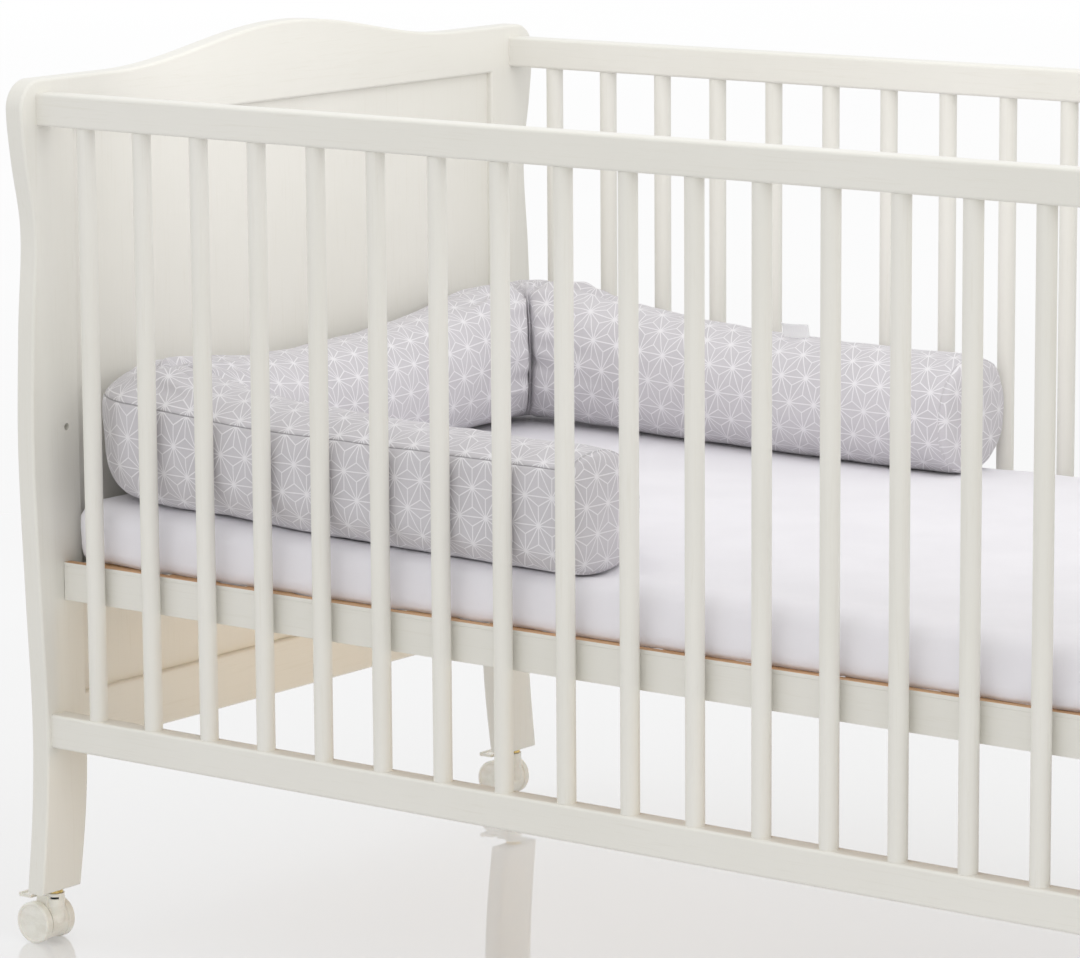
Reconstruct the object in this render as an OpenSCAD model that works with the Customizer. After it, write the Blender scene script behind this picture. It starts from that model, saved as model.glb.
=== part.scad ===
// Baby crib with curved end panels, barred sides, a slatted base, casters and bedding.
// Millimetres, +Z up. The origin is on the floor, under the middle of the crib.
// +X runs along the length and +Y across it, from the front side to the rear side.

/* [Crib frame] */
// Clear length between the two end panels
inner_l = 1404; // [1396:1:1420]
// Distance between the centre planes of the two barred sides
side_span = 746; // [740:1:760]
// Thickness of the end panel timber
panel_t = 22; // [20:1:26]
// Height of the end panels' shoulders above the floor
shoulder_z = 863; // [858:1:880]
// Rise of the crest above the shoulders
crest_rise = 31; // [10:1:60]
// Half of the crest's width along the top rail
crest_half = 270; // [200:5:320]
// Width of the stile measured inwards from the side's centre plane
stile_in = 41.5; // [36:0.5:50]
// Depth of the recess in front of the infill panel, on each face
recess = 7; // [4:0.5:8]

/* [Leg outline] */
// Outward reach of the foot past the side's centre plane
foot_out = 29; // [20:1:36]
// Reach of the lower waist
low_waist = 16.6; // [14:0.2:22]
// Reach of the belly
belly = 27; // [20:1:34]
// Reach of the upper waist
up_waist = 16; // [14:0.5:22]
// Reach of the shoulder
shoulder_out = 32; // [28:1:38]
// Radius of the shoulder corner
shoulder_r = 28; // [15:1:28]

/* [Barred sides] */
// Height of the side's top rail section
top_rail_h = 32; // [30:1:40]
// Height of the side's bottom rail section
low_rail_h = 34; // [30:1:40]
// Thickness of both side rails
side_rail_t = 22; // [20:1:24]
// Underside of the bottom rail above the floor
low_rail_z = 201; // [190:1:210]
// Upper face of the top rail above the floor
top_rail_z = 850; // [840:1:855]
// Number of bars in one side
bar_count = 19; // [15:1:19]
// Distance between bars, centre to centre
bar_pitch = 72; // [60:1:72]
// Diameter of a bar
bar_d = 18; // [16:1:20]

/* [Base] */
// Underside of the base frame above the floor
base_z = 347; // [340:1:355]
// Height of the painted base rails
base_rail_h = 34; // [30:1:38]
// Thickness of the painted base rails
base_rail_t = 18; // [16:1:20]
// Vertical step between the base height positions
height_step = 155; // [120:5:155]
// Number of slats
slat_count = 14; // [8:1:16]
// Width of a slat
slat_w = 60; // [40:1:70]

/* [Casters] */
// Wheel diameter
wheel_d = 42; // [40:1:42]
// Tread width of one of the twin wheels
wheel_w = 9; // [7:0.5:10]
// Distance from the stem axis to the axle
trail = 13; // [11:1:14]
// Underside of the legs above the floor
leg_z = 54; // [54:1:58]

/* [Bedding] */
// Mattress length
mat_l = 1392; // [1300:1:1394]
// Mattress width
mat_w = 696; // [600:1:700]
// Mattress thickness
mat_h = 58; // [50:1:80]
// Bolster diameter
bolster_d = 120; // [90:1:124]
// Reach of the bolster's front arm from the left end panel
front_reach = 630; // [300:5:1200]
// Reach of the bolster's rear arm from the left end panel
rear_reach = 643; // [300:5:1200]

/* [Hidden] */

$fn = 48;
CREAM = [0.93, 0.92, 0.87];
BARE_WOOD = [0.80, 0.64, 0.46];
ZINC = [0.75, 0.74, 0.70];
BRASS = [0.80, 0.68, 0.36];
PLASTIC = [0.93, 0.92, 0.88];
SHEET = [0.92, 0.91, 0.94];
GREY_CLOTH = [0.72, 0.71, 0.72];
CUT = 1;                                  // how far a cutter runs past a face

end_x = inner_l / 2;                      // inner face of an end panel
side_y = side_span / 2;                   // centre plane of a barred side
panel_mid_x = end_x + panel_t / 2;
infill_t = panel_t - 2 * recess;
tongue = 6;                               // how deep the infill sits in its groove
stile_y = side_y - stile_in;              // inner edge of a stile
panel_low_z = 194;                        // underside of the panel's bottom rail
infill_low_z = 249.5;
infill_top_z = 813.5;

// Height and outward reach of the leg's outer edge
leg_knots = [
    [leg_z, foot_out], [140, (foot_out + low_waist) / 2 - 3.3], [230, low_waist],
    [350, (low_waist + belly) / 2], [500, belly], [620, (belly + up_waist) / 2 + 1],
    [715, up_waist], [785, shoulder_out - 5], [shoulder_z - shoulder_r, shoulder_out]
];
knot_last = len(leg_knots) - 1;

low_rail_mid = low_rail_z + low_rail_h / 2;
top_rail_mid = top_rail_z - top_rail_h / 2;
bar_low_z = low_rail_z + low_rail_h;
bar_top_z = top_rail_z - top_rail_h;
tenon_d = 12;
tenon_l = 12;

base_rail_y = side_y - 21.5;              // centre of a base side rail
base_mid_z = base_z + base_rail_h / 2;
base_top_z = base_z + base_rail_h;
base_end_gap = 0.5;
strip_h = 4;
strip_w = 10;
slat_h = 8;
mat_low_z = base_top_z + strip_h + 0.3;
mat_top_z = mat_low_z + mat_h;

bolt_d = 6;
bolt_hole_d = 7;
bolt_reach = 38;                          // bolt length past the panel's inner face
nut_in = 30;                              // barrel nut distance from the rail's end
nut_d = 10;
nut_l = 14;

wheel_r = wheel_d / 2;
hood_w = 22;
wheel_in = hood_w / 2 + 0.5;              // inner face of a wheel from the caster's middle
axle_d = 6;
stem_d = 8;
stem_top_z = leg_z + 38;
flange_h = 3;
hood_top_z = leg_z - flange_h - 0.5;
lever_x = -12;                            // brake lever pivot from the stem axis
lever_z = hood_top_z - 4.5;
pin_d = 3;
bolster_r = bolster_d / 2;
bolster_z = mat_top_z + 0.3 + bolster_r;
bolster_y = side_y - 72;
bolster_x = -end_x + bolster_r + 1;

// Cubic Hermite value between two knots a and b, with slopes sa and sb
function hermite(a, b, sa, sb, t) =
    let (h = b[0] - a[0])
    (2 * t * t * t - 3 * t * t + 1) * a[1] + (t * t * t - 2 * t * t + t) * h * sa
    + (3 * t * t - 2 * t * t * t) * b[1] + (t * t * t - t * t) * h * sb;
function knot_slope(i) =
    i == 0 ? (leg_knots[1][1] - leg_knots[0][1]) / (leg_knots[1][0] - leg_knots[0][0])
    : i == knot_last ? 0
    : (leg_knots[i + 1][1] - leg_knots[i - 1][1]) / (leg_knots[i + 1][0] - leg_knots[i - 1][0]);
// Points [reach, height] up the leg's outer edge
leg_edge = [
    for (i = [0:knot_last - 1], k = [0:5])
        let (a = leg_knots[i], b = leg_knots[i + 1], t = k / 6)
        [hermite(a, b, knot_slope(i), knot_slope(i + 1), t), a[0] + (b[0] - a[0]) * t]
];
foot_in = 27;                             // inward reach of the foot
// Points down the inner edge of the leg, below the panel's bottom rail
foot_edge = [
    for (k = [0:10])
        let (u = 1 - k / 10)
        [foot_in + (stile_in - foot_in) * sin(90 * u), leg_z + (panel_low_z - leg_z) * u]
];

// ---- shared shapes ----

// Extrudes a drawing made in Y and Z along +X, starting at x
module along_x(x, l) {
    translate([x, 0, 0]) rotate([90, 0, 90]) linear_extrude(l) children();
}

module rounded_rect(w, h, r) {
    union() {
        square([w - 2 * r, h], center = true);
        square([w, h - 2 * r], center = true);
        for (sx = [-1, 1], sy = [-1, 1])
            translate([sx * (w / 2 - r), sy * (h / 2 - r)]) circle(r);
    }
}

// A round hole or rod along X, from x over a length l
module rod_x(x, y, z, d, l) {
    translate([x, y, z]) rotate([0, 90, 0]) cylinder(d = d, h = l);
}

module rod_y(x, y, z, d, l) {
    translate([x, y, z]) rotate([-90, 0, 0]) cylinder(d = d, h = l);
}

// Puts a left-hand child at the left or the right end
module at_end(right) {
    mirror([right ? 1 : 0, 0, 0]) children();
}

// Puts a front child at the front or the rear side
module at_side(rear) {
    mirror([0, rear ? 1 : 0, 0]) children();
}

// ---- end panels, drawn at the left end and the front ----

module leg_outline() {
    arc_y = side_y + shoulder_out - shoulder_r;
    polygon(concat(
        [for (p = leg_edge) [-side_y - p[0], p[1]]],
        [for (a = [0:7.5:90])
            [-arc_y - shoulder_r * cos(a), shoulder_z - shoulder_r + shoulder_r * sin(a)]],
        [[-stile_y, shoulder_z]],
        [for (p = foot_edge) [-side_y + p[0], p[1]]]
    ));
}

// Where the two loose dowels of each corner joint lie, as heights
joint_dowel_z = [panel_low_z + 15, infill_low_z - 15, infill_top_z + 12, shoulder_z - 15];
dowel_in = 13;                            // reach of a dowel into each timber, short of the base holes

module panel_leg() {
    color(CREAM)
    difference() {
        along_x(-end_x - panel_t, panel_t) leg_outline();
        // groove for the infill panel
        translate([-panel_mid_x - infill_t / 2, -stile_y - tongue, infill_low_z - tongue])
            cube([infill_t, tongue + CUT, infill_top_z - infill_low_z + 2 * tongue]);
        // side rail bolts
        for (z = [low_rail_mid, top_rail_mid])
            rod_x(-end_x - panel_t - CUT, -side_y, z, bolt_hole_d, panel_t + 2 * CUT);
        // three base heights
        for (k = [-1:1])
            rod_x(-end_x - panel_t - CUT, -base_rail_y, base_mid_z + k * height_step,
                bolt_hole_d, panel_t + 2 * CUT);
        for (z = joint_dowel_z)
            rod_y(-panel_mid_x, -stile_y - dowel_in, z, 8, dowel_in + CUT);
        // caster stem
        translate([-panel_mid_x, -side_y, leg_z - CUT])
            cylinder(d = stem_d, h = stem_top_z - leg_z + CUT);
    }
}

module panel_joint_dowels() {
    color(BARE_WOOD)
    for (rear = [false, true], z = joint_dowel_z)
        at_side(rear) rod_y(-panel_mid_x, -stile_y - dowel_in, z, 8, 2 * dowel_in);
}

function crest(y) =
    abs(y) >= crest_half ? 0 : crest_rise * (1 + cos(180 * y / crest_half)) / 2;

module panel_top_rail() {
    steps = 60;
    color(CREAM)
    difference() {
        along_x(-end_x - panel_t, panel_t)
            polygon(concat(
                [[-stile_y, infill_top_z]],
                [for (k = [0:steps])
                    let (y = -stile_y + 2 * stile_y * k / steps)
                    [y, shoulder_z + crest(y)]],
                [[stile_y, infill_top_z]]
            ));
        translate([-panel_mid_x - infill_t / 2, -stile_y - CUT, infill_top_z - CUT])
            cube([infill_t, 2 * stile_y + 2 * CUT, tongue + CUT]);
        for (rear = [false, true], z = [joint_dowel_z[2], joint_dowel_z[3]])
            at_side(rear) rod_y(-panel_mid_x, -stile_y - CUT, z, 8, dowel_in + CUT);
    }
}

module panel_bottom_rail() {
    color(CREAM)
    difference() {
        translate([-end_x - panel_t, -stile_y, panel_low_z])
            cube([panel_t, 2 * stile_y, infill_low_z - panel_low_z]);
        translate([-panel_mid_x - infill_t / 2, -stile_y - CUT, infill_low_z - tongue])
            cube([infill_t, 2 * stile_y + 2 * CUT, tongue + CUT]);
        for (rear = [false, true], z = [joint_dowel_z[0], joint_dowel_z[1]])
            at_side(rear) rod_y(-panel_mid_x, -stile_y - CUT, z, 8, dowel_in + CUT);
    }
}

module infill_panel() {
    color(CREAM)
    translate([-panel_mid_x - infill_t / 2, -stile_y - tongue, infill_low_z - tongue])
        cube([infill_t, 2 * (stile_y + tongue), infill_top_z - infill_low_z + 2 * tongue]);
}

// ---- barred sides, drawn at the front ----

bar_x0 = -bar_pitch * (bar_count - 1) / 2;

// A side rail between z and z + h, with its bar sockets in the face at socket_z
module side_rail(z, h, socket_z, nut_z) {
    color(CREAM)
    difference() {
        along_x(-end_x, inner_l)
            translate([-side_y, z + h / 2]) rounded_rect(side_rail_t, h, 3);
        for (k = [0:bar_count - 1])
            translate([bar_x0 + k * bar_pitch, -side_y, socket_z])
                cylinder(d = tenon_d, h = tenon_l + CUT);
        for (right = [false, true])
            at_end(right) {
                rod_x(-end_x - CUT, -side_y, z + h / 2, bolt_hole_d, bolt_reach + 2 * CUT);
                translate([-end_x + nut_in, -side_y, z - CUT])
                    cylinder(d = nut_d, h = nut_z - z + nut_l / 2 + CUT);
            }
    }
}

module side_top_rail() {
    side_rail(bar_top_z, top_rail_h, bar_top_z - CUT, top_rail_mid);
}

module side_bottom_rail() {
    side_rail(low_rail_z, low_rail_h, bar_low_z - tenon_l, low_rail_mid);
}

module bars() {
    color(CREAM)
    for (k = [0:bar_count - 1])
        translate([bar_x0 + k * bar_pitch, -side_y, 0]) {
            translate([0, 0, bar_low_z]) cylinder(d = bar_d, h = bar_top_z - bar_low_z);
            translate([0, 0, bar_low_z - tenon_l])
                cylinder(d = tenon_d, h = bar_top_z - bar_low_z + 2 * tenon_l);
        }
}

// ---- fasteners ----

// Furniture bolt through the left end panel, with a flat socket head
module panel_bolt(y, z) {
    head_d = 16;
    head_h = 2.4;
    difference() {
        union() {
            rod_x(-end_x - panel_t - head_h, y, z, head_d, head_h);
            rod_x(-end_x - panel_t, y, z, bolt_d, panel_t + bolt_reach);
        }
        translate([-end_x - panel_t - head_h - CUT, y, z]) rotate([0, 90, 0])
            cylinder(d = 4.6, h = 2 + CUT, $fn = 6);
    }
}

module barrel_nut(y, z) {
    translate([-end_x + nut_in, y, z])
    difference() {
        translate([0, 0, -nut_l / 2]) cylinder(d = nut_d, h = nut_l);
        rod_x(-nut_d, 0, 0, bolt_d, 2 * nut_d);
        translate([-nut_d, -0.8, -nut_l / 2 - CUT]) cube([2 * nut_d, 1.6, CUT + 1.2]);
    }
}

module side_bolts() {
    color(ZINC)
    for (right = [false, true], rear = [false, true], z = [low_rail_mid, top_rail_mid])
        at_end(right) at_side(rear) panel_bolt(-side_y, z);
}

module side_barrel_nuts() {
    color(ZINC)
    for (right = [false, true], rear = [false, true], z = [low_rail_mid, top_rail_mid])
        at_end(right) at_side(rear) barrel_nut(-side_y, z);
}

module base_bolts() {
    color(ZINC)
    for (right = [false, true], rear = [false, true])
        at_end(right) at_side(rear) panel_bolt(-base_rail_y, base_mid_z);
}

module base_barrel_nuts() {
    color(ZINC)
    for (right = [false, true], rear = [false, true])
        at_end(right) at_side(rear) barrel_nut(-base_rail_y, base_mid_z);
}

// ---- base ----

base_l = inner_l - 2 * base_end_gap;
base_out_y = base_rail_y + base_rail_t / 2;
base_in_y = base_rail_y - base_rail_t / 2;
slat_end_y = base_out_y - strip_w;
base_dowel_z = [base_mid_z - 9, base_mid_z + 9];
base_dowel_x = end_x - base_end_gap - base_rail_t / 2;

module base_side_rail() {
    color(CREAM)
    difference() {
        translate([-base_l / 2, -base_out_y, base_z])
            cube([base_l, base_rail_t, base_rail_h]);
        // rabbet that carries the slats
        translate([-base_l / 2 - CUT, -slat_end_y, base_top_z + strip_h - slat_h])
            cube([base_l + 2 * CUT, strip_w + base_rail_t, slat_h]);
        for (right = [false, true])
            at_end(right) {
                rod_x(-end_x - CUT, -base_rail_y, base_mid_z, bolt_hole_d, bolt_reach + 2 * CUT);
                translate([-end_x + nut_in, -base_rail_y, base_z - CUT])
                    cylinder(d = nut_d, h = base_rail_h / 2 + nut_l / 2 + CUT);
            }
        for (right = [false, true], z = base_dowel_z)
            at_end(right) rod_y(-base_dowel_x, -base_in_y - 10, z, 6, 10 + CUT);
    }
}

module base_end_rail() {
    color(CREAM)
    difference() {
        translate([-base_l / 2, -base_in_y, base_z])
            cube([base_rail_t, 2 * base_in_y, base_rail_h]);
        for (rear = [false, true], z = base_dowel_z)
            at_side(rear) rod_y(-base_dowel_x, -base_in_y - CUT, z, 6, 20 + CUT);
    }
}

module base_joint_dowels() {
    color(BARE_WOOD)
    for (right = [false, true], rear = [false, true], z = base_dowel_z)
        at_end(right) at_side(rear) rod_y(-base_dowel_x, -base_in_y - 10, z, 6, 30);
}

module slats() {
    first = -base_l / 2 + base_rail_t + 12;
    pitch = (-2 * first - slat_w) / (slat_count - 1);
    color(BARE_WOOD)
    for (k = [0:slat_count - 1])
        translate([first + k * pitch + slat_w / 2, 0, base_top_z + strip_h - slat_h])
            linear_extrude(slat_h) rounded_rect(slat_w, 2 * slat_end_y, 2);
}

module edge_strip() {
    color(BARE_WOOD)
    translate([-base_l / 2, -base_out_y, base_top_z]) cube([base_l, strip_w, strip_h]);
}

// ---- bedding ----

module mattress() {
    color(SHEET)
    translate([0, 0, mat_low_z]) linear_extrude(mat_h) rounded_rect(mat_l, mat_w, 28);
}

module bolster() {
    color(GREY_CLOTH)
    union() {
        for (y = [-bolster_y, bolster_y])
            translate([bolster_x, y, bolster_z]) sphere(bolster_r);
        rod_y(bolster_x, -bolster_y, bolster_z, bolster_d, 2 * bolster_y);
        rod_x(bolster_x, -bolster_y, bolster_z, bolster_d, front_reach - end_x - bolster_x);
        rod_x(bolster_x, bolster_y, bolster_z, bolster_d, rear_reach - end_x - bolster_x);
    }
}

module bolster_tag() {
    tag_w = 32;
    tag_h = 20;
    tag_x = -end_x + 420;
    tag_y = bolster_y + 14;
    color("white")
    translate([tag_x - tag_w / 2, tag_y - 0.5, bolster_z + bolster_r - 4])
        cube([tag_w, 1, tag_h]);
}

// ---- casters, drawn round a stem on the Z axis, trailing towards -X ----

module caster_stem() {
    color(BRASS)
    union() {
        translate([0, 0, leg_z - flange_h]) cylinder(d = 16, h = flange_h);
        translate([0, 0, hood_top_z - 17]) cylinder(d = stem_d, h = stem_top_z - hood_top_z + 17);
    }
}

module caster_hood() {
    hood_r = wheel_r - 0.7;
    color(PLASTIC)
    difference() {
        union() {
            intersection() {
                rod_y(-trail, -hood_w / 2, wheel_r, 2 * hood_r, hood_w);
                translate([-trail - 13, -hood_w, 5]) cube([60, 2 * hood_w, 60]);
            }
            translate([0, 0, wheel_r]) cylinder(d = 19, h = hood_top_z - wheel_r);
            // ears that hold the brake lever
            translate([lever_x - 3, -hood_w / 2, wheel_r + 8])
                cube([14, hood_w, lever_z + 2 - wheel_r - 8]);
            rod_y(lever_x, -hood_w / 2, lever_z, 6, hood_w);
        }
        // swivel bore
        translate([0, 0, hood_top_z - 19]) cylinder(d = stem_d + 0.1, h = 19 + CUT);
        // lever slot and its pin bore
        translate([lever_x - 20, -6, lever_z - 5]) cube([25, 12, 20]);
        rod_y(lever_x, -hood_w, lever_z, pin_d + 0.1, 2 * hood_w);
        // axle bore
        rod_y(-trail, -hood_w, wheel_r, axle_d, 2 * hood_w);
        // slot in the neck that shows the stem's retaining ring
        translate([0, 0, hood_top_z - 5.5]) rotate([0, 0, -52])
            translate([stem_d / 2 + 2, -4.5, 0]) cube([8, 9, 2.4]);
    }
}

module caster_axle() {
    color(ZINC)
    rod_y(-trail, -wheel_in - 7, wheel_r, axle_d, 2 * wheel_in + 14);
}

// The wheel on the -Y side of the hood
module caster_wheel() {
    r = wheel_r;
    w = wheel_w;
    color(PLASTIC)
    translate([-trail, -wheel_in, wheel_r]) rotate([90, 0, 0])
    rotate_extrude()
        polygon([
            [axle_d / 2 + 0.04, 0], [r - 1, 0], [r, 1], [r, w - 1.8], [r - 0.6, w - 0.6],
            [r - 2, w], [r - 3.2, w - 0.2], [r - 3.6, w - 0.9], [0, w - 0.4],
            [0, w - 1.9], [axle_d / 2 + 0.04, w - 1.9]
        ]);
}

module caster_brake_lever() {
    reach = 25;
    pad_w = 30;
    tip_x = lever_x - reach;
    color(PLASTIC)
    union() {
        rod_y(lever_x, -5.6, lever_z, 7, 11.2);
        rod_y(lever_x, -hood_w / 2, lever_z, pin_d, hood_w);
        translate([lever_x - 8, -5.6, lever_z - 1.5]) cube([8, 11.2, 3]);
        translate([tip_x + 4, -pad_w / 2, lever_z - 1.5]) cube([reach - 11, pad_w, 3]);
        rod_y(tip_x + 4, -pad_w / 2, lever_z + 0.5, 5, pad_w);
    }
}

// Places a caster part under one corner; right and rear pick the corner
module caster_at(right, rear) {
    at_end(right) at_side(rear) translate([-panel_mid_x, -side_y, 0]) children();
}

module other_side() {
    mirror([0, 1, 0]) children();
}

panel_leg();  // left_leg_front
at_side(true) panel_leg();  // left_leg_rear
panel_top_rail();  // left_top_rail
panel_bottom_rail();  // left_bottom_rail
infill_panel();  // left_infill_panel
panel_joint_dowels();  // left_joint_dowels
at_end(true) panel_leg();  // right_leg_front
at_end(true) at_side(true) panel_leg();  // right_leg_rear
at_end(true) panel_top_rail();  // right_top_rail
at_end(true) panel_bottom_rail();  // right_bottom_rail
at_end(true) infill_panel();  // right_infill_panel
at_end(true) panel_joint_dowels();  // right_joint_dowels
side_top_rail();  // front_side_top_rail
side_bottom_rail();  // front_side_bottom_rail
bars();  // front_bars
at_side(true) side_top_rail();  // rear_side_top_rail
at_side(true) side_bottom_rail();  // rear_side_bottom_rail
at_side(true) bars();  // rear_bars
side_bolts();
side_barrel_nuts();
base_bolts();
base_barrel_nuts();
base_side_rail();  // base_rail_front
at_side(true) base_side_rail();  // base_rail_rear
base_end_rail();  // base_rail_left
at_end(true) base_end_rail();  // base_rail_right
base_joint_dowels();
slats();
edge_strip();  // edge_strip_front
at_side(true) edge_strip();  // edge_strip_rear
mattress();
bolster();
bolster_tag();
caster_at(false, false) caster_stem();  // left_front_stem
caster_at(false, false) caster_hood();  // left_front_hood
caster_at(false, false) caster_axle();  // left_front_axle
caster_at(false, false) caster_wheel();  // left_front_outer_wheel
caster_at(false, false) other_side() caster_wheel();  // left_front_inner_wheel
caster_at(false, false) caster_brake_lever();  // left_front_brake_lever
caster_at(false, true) caster_stem();  // left_rear_stem
caster_at(false, true) caster_hood();  // left_rear_hood
caster_at(false, true) caster_axle();  // left_rear_axle
caster_at(false, true) caster_wheel();  // left_rear_outer_wheel
caster_at(false, true) other_side() caster_wheel();  // left_rear_inner_wheel
caster_at(false, true) caster_brake_lever();  // left_rear_brake_lever
caster_at(true, false) caster_stem();  // right_front_stem
caster_at(true, false) caster_hood();  // right_front_hood
caster_at(true, false) caster_axle();  // right_front_axle
caster_at(true, false) caster_wheel();  // right_front_outer_wheel
caster_at(true, false) other_side() caster_wheel();  // right_front_inner_wheel
caster_at(true, false) caster_brake_lever();  // right_front_brake_lever
caster_at(true, true) caster_stem();  // right_rear_stem
caster_at(true, true) caster_hood();  // right_rear_hood
caster_at(true, true) caster_axle();  // right_rear_axle
caster_at(true, true) caster_wheel();  // right_rear_outer_wheel
caster_at(true, true) other_side() caster_wheel();  // right_rear_inner_wheel
caster_at(true, true) caster_brake_lever();  // right_rear_brake_lever
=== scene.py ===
from math import acos, ceil, cos, exp, hypot, pi, radians, sin, sqrt, tan, tau

import bmesh
import bpy
from mathutils import Matrix, Vector, noise
from mathutils.kdtree import KDTree


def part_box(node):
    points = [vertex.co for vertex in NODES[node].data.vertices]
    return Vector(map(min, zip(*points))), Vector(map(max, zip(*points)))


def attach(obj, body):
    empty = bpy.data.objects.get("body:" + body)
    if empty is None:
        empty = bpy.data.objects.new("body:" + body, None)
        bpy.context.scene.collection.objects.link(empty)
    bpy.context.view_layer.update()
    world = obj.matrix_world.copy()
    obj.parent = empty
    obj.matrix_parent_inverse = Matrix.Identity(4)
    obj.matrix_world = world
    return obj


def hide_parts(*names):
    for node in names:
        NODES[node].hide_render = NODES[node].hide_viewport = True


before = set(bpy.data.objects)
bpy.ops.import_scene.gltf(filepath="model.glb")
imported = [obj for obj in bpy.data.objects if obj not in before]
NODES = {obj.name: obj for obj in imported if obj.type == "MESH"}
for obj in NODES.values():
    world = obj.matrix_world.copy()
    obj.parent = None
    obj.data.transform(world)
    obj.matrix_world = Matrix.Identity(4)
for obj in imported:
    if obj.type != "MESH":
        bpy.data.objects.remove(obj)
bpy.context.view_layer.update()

# Metres, in the CAD frame: floor at z = 0, +X along the length, +Y from front to rear.
SCENE = bpy.context.scene
MM = 0.001


def smooth(value, low, high):
    """0 below low, 1 above high, and a smooth step between."""
    t = min(max((value - low) / (high - low), 0), 1)
    return t * t * (3 - 2 * t)


def linked(name, data):
    """A new object with this mesh, camera or light, in the scene."""
    made = bpy.data.objects.new(name, data)
    SCENE.collection.objects.link(made)
    return made


# ---- camera

CAMERA_AT = Vector((2.5413, -3.8189, 1.3038))
CAMERA_YAW, CAMERA_PITCH, CAMERA_ROLL = -0.654, -0.176, -0.007
CAMERA_LENS, SENSOR_WIDTH = 162.48, 36


def add_camera():
    level = cos(CAMERA_PITCH)
    ahead = Vector((sin(CAMERA_YAW) * level, cos(CAMERA_YAW) * level, sin(CAMERA_PITCH)))
    right = Vector((cos(CAMERA_YAW), -sin(CAMERA_YAW), 0))
    up = right.cross(ahead)
    c, s = cos(CAMERA_ROLL), sin(CAMERA_ROLL)
    right, up = c * right + s * up, c * up - s * right
    data = bpy.data.cameras.new("camera")
    data.lens, data.sensor_width = CAMERA_LENS, SENSOR_WIDTH
    data.sensor_fit = "HORIZONTAL"
    data.clip_start, data.clip_end = 0.1, 100
    cam = linked("camera", data)
    axes = Matrix((right, up, -ahead)).transposed()
    cam.matrix_world = Matrix.Translation(CAMERA_AT) @ axes.to_4x4()
    SCENE.camera = cam


add_camera()


# ---- materials

def srgb(r, g, b):
    """A colour given as 0-255 screen values, in the renderer's linear values."""
    def linear(v):
        v /= 255
        return v / 12.92 if v <= 0.04045 else ((v + 0.055) / 1.055) ** 2.4
    return (linear(r), linear(g), linear(b), 1)


class Graph:
    """A small writer of node materials around one Principled shader."""

    def __init__(self, name, **shader):
        self.mat = bpy.data.materials.new(name)
        self.mat.use_nodes = True
        self.tree = self.mat.node_tree
        self.tree.nodes.clear()
        self.shader = self.node("ShaderNodeBsdfPrincipled")
        out = self.node("ShaderNodeOutputMaterial")
        self.tree.links.new(self.shader.outputs[0], out.inputs[0])
        for key, value in shader.items():
            self.shader.inputs[key.replace("_", " ")].default_value = value

    def node(self, kind, inputs={}, **props):
        """A node with these properties, and these values or links on its inputs."""
        made = self.tree.nodes.new(kind)
        for key, value in props.items():
            setattr(made, key, value)
        for key, value in inputs.items():
            self.put(made.inputs[key], value)
        return made

    def put(self, socket, value):
        if isinstance(value, bpy.types.NodeSocket):
            self.tree.links.new(value, socket)
        else:
            socket.default_value = value

    def set(self, key, value):
        self.put(self.shader.inputs[key], value)

    def math(self, operation, *values):
        """One operation on one or two values, or taken along a longer row of them."""
        if len(values) > 2:
            values = self.math(operation, *values[:-1]), values[-1]
        return self.node("ShaderNodeMath", dict(enumerate(values)), operation=operation).outputs[0]

    def coords(self, kind="Object"):
        return self.node("ShaderNodeTexCoord").outputs[kind]

    def parts(self, vector):
        return self.node("ShaderNodeSeparateXYZ", {0: vector}).outputs

    def stretched(self, vector, scale):
        return self.node("ShaderNodeMapping", {"Vector": vector, "Scale": scale}).outputs[0]

    def noise(self, vector, scale, detail=2.0, distortion=0.0, rough=0.5):
        """Noise with one scale, or with a scale for each axis."""
        if isinstance(scale, tuple):
            vector, scale = self.stretched(vector, scale), 1.0
        return self.node("ShaderNodeTexNoise", {"Vector": vector, "Scale": scale, "Detail": detail,
                                                "Distortion": distortion, "Roughness": rough}).outputs["Fac"]

    def ramp(self, value, low, high, to_low=0.0, to_high=1.0):
        return self.node("ShaderNodeMapRange", dict(enumerate((value, low, high, to_low, to_high))),
                         interpolation_type="SMOOTHSTEP").outputs[0]

    def mix(self, factor, one, two):
        return self.node("ShaderNodeMix", {"Factor": factor, 6: one, 7: two}, data_type="RGBA").outputs[2]

    def bump(self, height, distance, strength=1.0, normal=None):
        inputs = {"Height": height, "Distance": distance, "Strength": strength}
        if normal is not None:
            inputs["Normal"] = normal
        return self.node("ShaderNodeBump", inputs).outputs[0]


def painted_wood(name, along):
    """Satin cream lacquer over wood, whose grain runs along axis 0, 1 or 2."""
    g = Graph(name, Coat_Weight=0.12, Coat_Roughness=0.22, IOR=1.46)
    place = g.coords()
    stretch = [42.0, 42.0, 42.0]
    stretch[along] = 1.6
    grain = g.noise(g.stretched(place, stretch), 9.0, detail=5, distortion=0.6, rough=0.62)
    cloud = g.noise(place, 3.2, detail=3)
    peel = g.noise(place, 520.0, detail=2)
    tone = g.mix(g.ramp(cloud, 0.3, 0.7), srgb(230, 228, 220), srgb(234, 232, 225))
    tone = g.mix(g.ramp(grain, 0.52, 0.74, 0, 0.25), tone, srgb(219, 215, 203))
    g.set("Base Color", tone)
    uneven = g.math("ADD", g.math("MULTIPLY", grain, 0.5), g.math("MULTIPLY", cloud, 0.5))
    g.set("Roughness", g.ramp(uneven, 0.3, 0.7, 0.33, 0.43))
    fine = g.bump(peel, 0.00012, 0.35)
    g.set("Normal", g.bump(grain, 0.0003, 0.4, fine))
    return g.mat


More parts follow.
